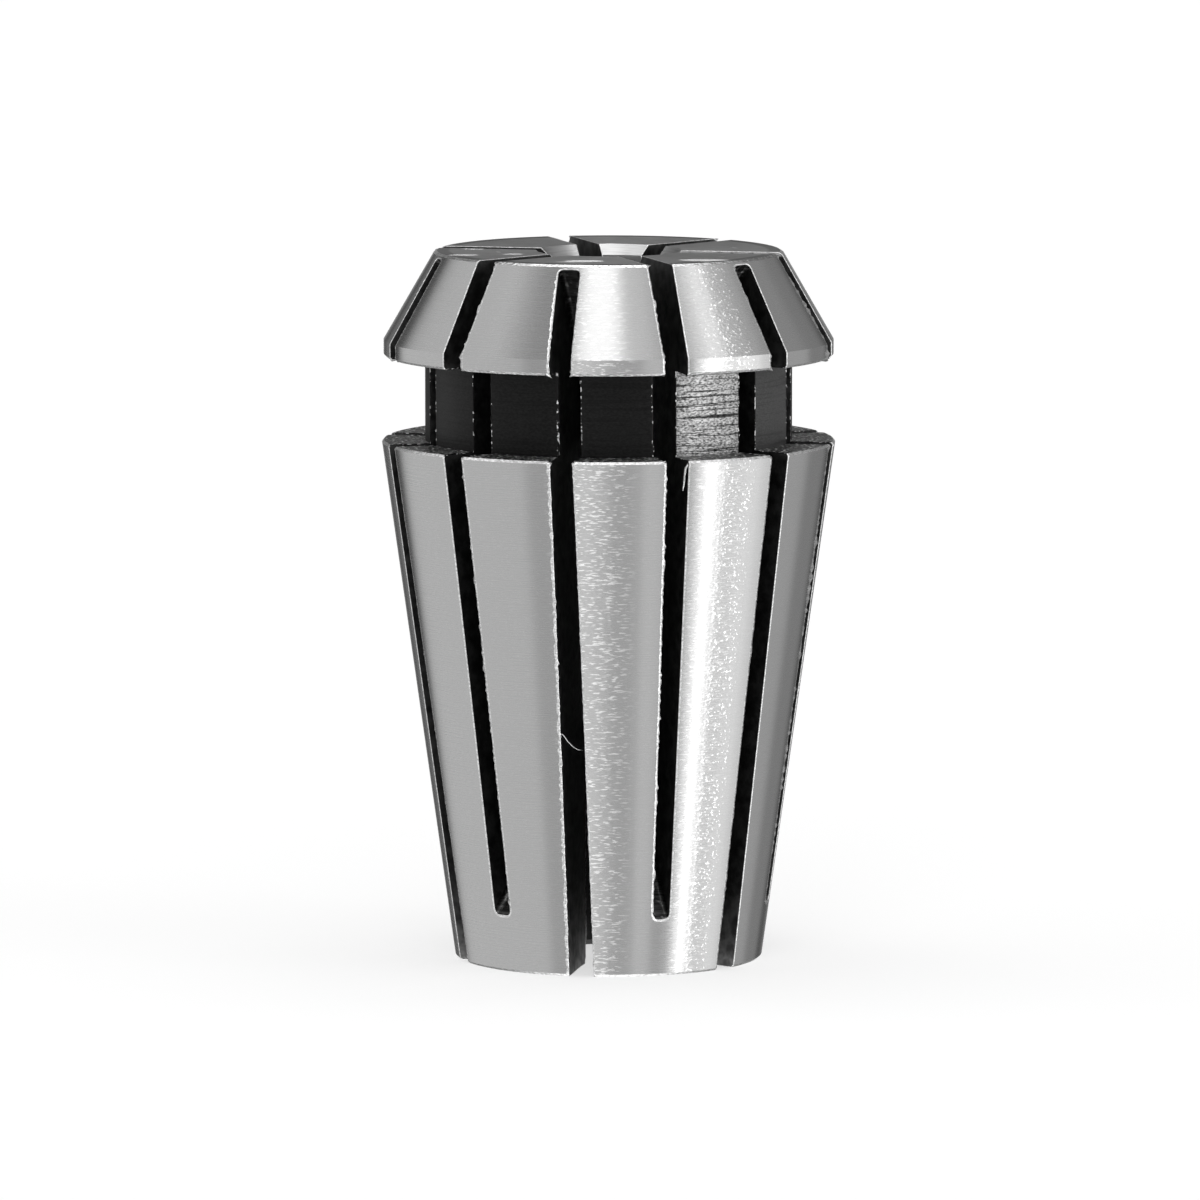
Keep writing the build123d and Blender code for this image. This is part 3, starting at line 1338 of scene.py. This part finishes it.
# %% [markdown]
# ## Camera
#
# The collet stands upright and is seen from a little above, through a long lens, so its sides
# hardly converge. One slot from the rear is left of the middle and one from the nose right of it.
# The camera's place is worked out from what it looks at: the aim point, the two angles and the
# distance. A camera placed by its own coordinates would have to be found again after each change.

# %% Camera
azimuth = radians(-3.24)
pitch = radians(6.81)
distance = 282.35 * MM
aim_right = -0.2185 * MM
aim_height = 9.084 * MM
right = Vector((cos(azimuth), sin(azimuth), 0))
ahead = Vector((-sin(azimuth), cos(azimuth), 0))
up = Vector((0, 0, 1))

camera_data = bpy.data.cameras.new("product_camera")
camera_data.lens = 333.55
camera_data.sensor_width = 36
camera_data.clip_start = 0.01
camera_data.clip_end = 20
camera = bpy.data.objects.new("product_camera", camera_data)
scene.collection.objects.link(camera)
look = ahead * cos(pitch) - up * sin(pitch)
stand_point = right * aim_right + up * aim_height - look * distance
turned_to_look = look.to_track_quat("-Z", "Y").to_matrix().to_4x4()
camera.matrix_world = Matrix.Translation(stand_point) @ turned_to_look
scene.camera = camera
print("camera at, in mm:", [round(c / MM, 1) for c in stand_point])

# %% [markdown]
# ## A light table
#
# The floor is a plain white sheet that glows a little, as on a light table, so that the collet's
# shadow stays faint. It is hidden from the glossy rays: polished steel would otherwise show
# nothing but floor in its lower half, and a small part like this is shot over glass, with the
# tent's panels going on below it.

# %% Floor
half_side = 3.0  # metres
sheet = bpy.data.meshes.new("light_table")
corner_signs = ((-1, -1), (1, -1), (1, 1), (-1, 1))
sheet_corners = [(x * half_side, y * half_side, 0) for x, y in corner_signs]
sheet.from_pydata(sheet_corners, [], [(0, 1, 2, 3)])
floor = bpy.data.objects.new("light_table", sheet)
scene.collection.objects.link(floor)
paper, tree, shader = new_finish("white_sheet")
plug(tree, shader, {
    "Base Color": (0.36, 0.36, 0.36, 1),
    "Roughness": 1.0,
    "Specular IOR Level": 0.0,
    "Emission Color": (1, 1, 1, 1),
    "Emission Strength": 0.62,
})
sheet.materials.append(paper)
floor.visible_glossy = False
floor.visible_shadow = False
print("light table, metres across:", 2 * half_side)

# %% [markdown]
# ## A light tent
#
# Bright metal has hardly any colour of its own: it looks like what surrounds it. A tent of
# white cloth with a few brighter and darker panels is the usual way to light it. The tent is
# painted on the world, panel by panel. Each panel has a direction round the collet, counted
# from the camera to the right, a half width, a brightness, and the heights that it spans.
# Later panels lie over earlier ones, so a lamp is simply a narrow bright panel near the end.
# Real sheets and lamps would do as well, but each would have to stay out of the camera's sight,
# and small bright lamps leave more noise on polished steel.

# %% The tent's panels
# name, direction, half width, brightness, lowest and highest angle, softness (degrees)
panels = [
    ("left cloth", -88, 44, 0.92, -90, 90, 4),
    ("left cloth, dimmer above", -52, 14, 0.55, 15, 90, 6),
    ("left join", -32, 8, 0.66, -90, 90, 14),
    ("left join above", -42, 13, 0.36, 15, 90, 6),
    ("front cloth", -14, 7, 1.18, -90, 15, 6),
    ("front middle", -3, 6, 0.93, -90, 15, 6),
    ("front join", 10, 10, 0.66, -90, 15, 6),
    ("front join, right", 27, 9, 0.98, -90, 15, 5),
    ("front join above", 24, 16, 1.0, 15, 90, 6),
    ("right join", 40, 8, 0.62, -90, 90, 6),
    ("right cloth, nearer", 51, 6, 0.85, -90, 15, 5),
    ("right cloth", 66, 12, 1.0, -90, 15, 6),
    ("right cloth above", 66, 16, 0.9, 15, 90, 6),
    ("right cloth, further", 87, 10, 1.42, -90, 15, 8),
    ("right cloth, further above", 88, 9, 0.98, 15, 90, 6),
    ("far right cloth", 112, 16, 0.66, -90, 15, 6),
    ("far right cloth above", 108, 14, 0.46, 15, 90, 8),
    ("right rear cloth", 136, 11, 0.37, -90, 90, 5),
    ("right rear gap", 155, 8, 0.13, -90, 90, 4),
    ("right rear edge", 168, 5, 0.16, -90, 90, 3),
    ("left rear gap", -141, 5, 0.05, -90, 90, 2),
    ("left rear cloth", -154, 8, 0.24, -90, 90, 3),
    ("rear opening", 180, 14, 0.3, -90, 16, 4),
    ("rear opening above", 180, 24, 0.04, 16, 56, 4),
    ("left rear edge", -164, 4, 0.1, -90, 45, 3),
    ("right cloth at eye level", 64, 19, 2.4, -10, 12, 5),
    ("strip lamp", 56, 3.8, 3.4, -70, 25, 3),
    ("strip lamp above", 67.5, 4, 2.6, 22, 66, 2),
    ("front lamp", -7, 15, 2.5, 26, 74, 12),
    ("roof", 0, 180, 2.0, 74, 90, 6),
    ("rear roof", 180, 75, 2.8, 58, 90, 6),
    ("sheet below", 0, 180, 2.0, -90, -62, 6),
]
print("panels:", len(panels), "brightest:", max(panel[3] for panel in panels))

# %% Paint the tent on the world
bare_cloth = 0.6  # brightness where no panel hangs
backdrop = 0.985  # brightness that the camera sees behind the collet
camera_direction = degrees(azimuth) - 90

tent = bpy.data.worlds.new("light_tent")
scene.world = tent
tent.use_nodes = True
tree = tent.node_tree
direction = node(tree, "ShaderNodeTexCoord").outputs["Generated"]
level = level_part(tree, direction)
height = height_of(tree, direction)


def panel_window(to_right, half_width, low, high, softness):
    """1 inside the panel, 0 outside, as a node value."""
    window = 1.0
    if half_width < 180:
        window = sector(tree, level, camera_direction + to_right, half_width, softness)
    for edge, is_top in ((low, False), (high, True)):
        if abs(edge) < 90:
            a = sin(radians(max(edge - softness / 2, -90)))
            b = sin(radians(min(edge + softness / 2, 90)))
            part = ramp(tree, height, a, b, float(is_top), float(not is_top))
            window = product(tree, window, part)
    return window


brightness = bare_cloth
for _, to_right, half_width, shine, low, high, softness in panels:
    window = panel_window(to_right, half_width, low, high, softness)
    brightness = mix(tree, window, brightness, shine)
seen = node(tree, "ShaderNodeLightPath").outputs["Is Camera Ray"]
brightness = mix(tree, seen, brightness, backdrop)
plug(tree, tree.nodes["Background"], {"Color": grey(tree, brightness)})
scene.view_settings.view_transform = "Standard"
print("world nodes:", len(tree.nodes))
